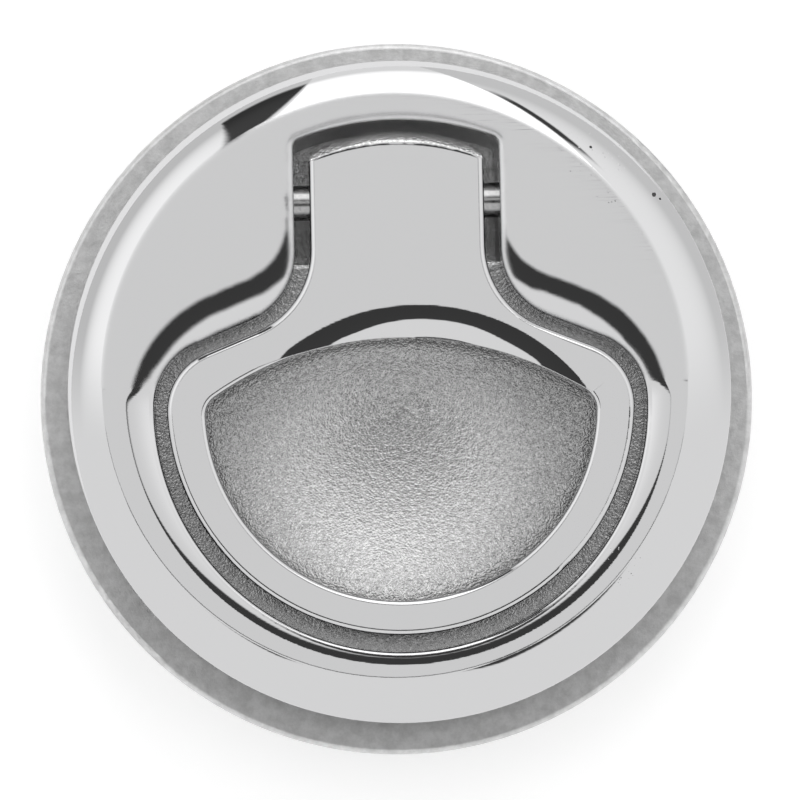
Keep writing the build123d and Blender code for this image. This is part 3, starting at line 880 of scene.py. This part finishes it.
def camera_gap(s, far, ahead, aside):
    """The dark gap round the camera's opening: wide on the grip's side, narrow beside the lamp."""
    right = s.span(aside, 0.3, 0.9, GAP_START, GAP_START_RIGHT)
    grip = s.span(ahead, -0.9, -0.3, GAP_START_GRIP, GAP_START)
    lamp = s.span(ahead, 0.3, 0.9, GAP_START, GAP_START_LAMP)
    starts = s.math("MINIMUM", s.math("MINIMUM", right, grip), lamp)
    wide = s.span(ahead, 0.5, -0.7, GAP_NARROW_END, GAP_WIDE_END)
    grip = s.span(ahead, -1.0, -0.9, GAP_GRIP_END, GAP_WIDE_END)
    lamp = s.span(ahead, 0.6, 0.85, GAP_NARROW_END, GAP_LAMP_END)
    ends = s.math("MAXIMUM", s.math("MINIMUM", wide, grip), lamp)
    inner = s.span(s.math("SUBTRACT", far, starts), 0.0, 0.01)
    outer = s.fade(s.math("SUBTRACT", far, ends), -0.03, 0.01)
    return s.math("MULTIPLY", inner, outer)


def lamp_and_flags(s, across, along):
    """A lamp with two straight sides, and the dark flag beside each."""
    right_edge = s.math("ADD", s.math("MULTIPLY", along, LAMP_RIGHT_LEAN), LAMP_RIGHT)
    right_side = s.math("SUBTRACT", across, right_edge)
    left_edge = s.math("MULTIPLY", along, LAMP_LEFT_LEAN)
    left_side = s.math("SUBTRACT", left_edge, s.math("ADD", across, LAMP_LEFT))
    inside = s.fade(s.math("MAXIMUM", right_side, left_side), -0.03, 0.0)
    lamp = s.product(inside, s.span(along, *LAMP_NEAR), s.span(along, *LAMP_FADE, 1.0, LAMP_FAR_SHARE))
    right_flag = s.product(
        s.span(right_side, 0.0, 0.02), s.fade(right_side, *RIGHT_FLAG_W),
        s.span(along, *RIGHT_FLAG_FROM), s.fade(along, *RIGHT_FLAG_TO),
    )
    left_end = s.math("ADD", across, s.math("MULTIPLY", along, LEFT_FLAG_SLANT))
    left_flag = s.product(
        s.span(left_side, 0.0, 0.04), s.span(left_end, -0.03, 0.03),
        s.span(along, *LEFT_FLAG_FROM), s.fade(along, *LEFT_FLAG_TO),
    )
    return lamp, s.math("MAXIMUM", right_flag, left_flag)


def studio_world(scene):
    """A pale tent with a dark gap round the camera's opening and a bright lamp beyond the bolt's side."""
    world = bpy.data.worlds.new("studio")
    scene.world = world
    s = Shader(world, "ShaderNodeOutputWorld")
    x, y, z = s.axes(s.add("ShaderNodeTexCoord").outputs["Generated"])
    height = s.math("MAXIMUM", z, 0.02)
    across, along = (s.math("DIVIDE", side, height) for side in (x, y))
    far = s.hypot(across, along)
    ahead, aside = (s.math("DIVIDE", side, s.math("MAXIMUM", far, 0.001)) for side in (along, across))
    gap = camera_gap(s, far, ahead, aside)
    lamp, flags = lamp_and_flags(s, across, along)

    # The tent is a little brighter on the lamp's side, and darker there towards the horizon
    lamp_side = s.span(ahead, -0.1, 0.3)
    left_of_lamp = s.math("MULTIPLY", lamp_side, s.span(aside, -0.2, -0.7))
    horizon = s.span(far, *HORIZON)
    level = s.total(
        s.span(far, 0.1, 0.6, TENT_NEAR, TENT_FAR),
        s.product(s.span(far, 0.2, 0.7), lamp_side, LAMP_SIDE_MORE),
        s.product(s.span(far, 0.3, 0.8), left_of_lamp, LEFT_MORE),
        s.product(horizon, lamp_side, -LAMP_SIDE_LESS),
        s.product(horizon, left_of_lamp, -LEFT_LESS),
        s.math("MULTIPLY", lamp, LAMP_LIGHT),
    )
    dark = s.span(s.math("MAXIMUM", gap, flags), 0.0, 1.0, 1.0, DARK_SHARE, smooth=False)
    tent = s.add("ShaderNodeBackground")
    s.join(s.math("MULTIPLY", level, dark), tent.inputs["Strength"])
    tent.inputs["Color"].default_value = (1, 1, 1, 1)
    s.join(tent.outputs[0], s.output.inputs["Surface"])


def floor():
    """A white floor, whose glow the camera and the mirrors see, and which lights nothing by it."""
    mesh = bmesh.new()
    bmesh.ops.create_grid(mesh, x_segments=1, y_segments=1, size=FLOOR_HALF)
    bmesh.ops.translate(mesh, verts=mesh.verts, vec=(0, 0, CAD_BOX[0].z - FLOOR_GAP))
    data = bpy.data.meshes.new("floor")
    mesh.to_mesh(data)
    mesh.free()
    ground = bpy.data.objects.new("floor", data)
    bpy.context.scene.collection.objects.link(ground)
    s = Shader(finish_named("floor_white"))
    diffuse = s.add("ShaderNodeBsdfDiffuse")
    diffuse.inputs["Color"].default_value = (*grey(FLOOR_WHITE), 1)
    path = s.add("ShaderNodeLightPath")
    seen = s.math("MAXIMUM", path.outputs["Is Camera Ray"], path.outputs["Is Glossy Ray"])
    seen = s.math("MAXIMUM", seen, path.outputs["Is Transmission Ray"])
    glow = s.add("ShaderNodeEmission")
    s.join(s.math("MULTIPLY", seen, FLOOR_GLOW), glow.inputs["Strength"])
    both = s.add("ShaderNodeAddShader")
    s.join(diffuse.outputs[0], both.inputs[0])
    s.join(glow.outputs[0], both.inputs[1])
    s.join(both.outputs[0], s.output.inputs["Surface"])
    data.materials.append(bpy.data.materials["floor_white"])


def camera(scene):
    """The camera over the grip's left side, turned so that the pull stands upright in the picture."""
    studio = scene.latch_studio
    data = bpy.data.cameras.new("camera")
    eye = bpy.data.objects.new("camera", data)
    scene.collection.objects.link(eye)
    scene.camera = eye
    data.sensor_width = 36.0
    data.lens = studio.camera_lens
    data.clip_start = 0.01
    data.clip_end = 20.0
    place = Vector((CAMERA_X, CAMERA_Y, studio.camera_distance))
    back = (place - Vector(CAMERA_AIM)).normalized()
    right = Vector((0, 1, 0)).cross(back).normalized()
    up = back.cross(right)
    turn = Matrix((right, up, back)).transposed().to_4x4()
    eye.matrix_world = Matrix.Translation(place) @ turn @ Matrix.Rotation(-studio.camera_roll, 4, "Z")


class LATCH_PT_panel(bpy.types.Panel):
    bl_label = "Hatch latch"
    bl_idname = "LATCH_PT_panel"
    bl_space_type = "VIEW_3D"
    bl_region_type = "UI"
    bl_category = "Hatch latch"

    def draw(self, context):
        scene = context.scene
        for owner in (scene.latch_finishes, scene.latch_thread, scene.latch_springs, scene.latch_studio):
            for name in owner.__annotations__:
                self.layout.prop(owner, name)
        for operator in OPERATORS:
            self.layout.operator(operator.bl_idname)


OPERATORS = (LATCH_OT_castings, LATCH_OT_thread, LATCH_OT_springs, LATCH_OT_works, LATCH_OT_studio)
CLASSES = (LatchFinishes, LatchThread, LatchSprings, LatchStudio, *OPERATORS, LATCH_PT_panel)


def register():
    for cls in CLASSES:
        bpy.utils.register_class(cls)
    bpy.types.Scene.latch_finishes = PointerProperty(type=LatchFinishes)
    bpy.types.Scene.latch_thread = PointerProperty(type=LatchThread)
    bpy.types.Scene.latch_springs = PointerProperty(type=LatchSprings)
    bpy.types.Scene.latch_studio = PointerProperty(type=LatchStudio)


def unregister():
    del bpy.types.Scene.latch_studio
    del bpy.types.Scene.latch_springs
    del bpy.types.Scene.latch_thread
    del bpy.types.Scene.latch_finishes
    for cls in reversed(CLASSES):
        bpy.utils.unregister_class(cls)


def main():
    register()
    bpy.ops.latch.castings()
    bpy.ops.latch.thread()
    bpy.ops.latch.springs()
    bpy.ops.latch.works()
    bpy.ops.latch.studio()
    bpy.context.view_layer.update()


if __name__ == "__main__":
    main()
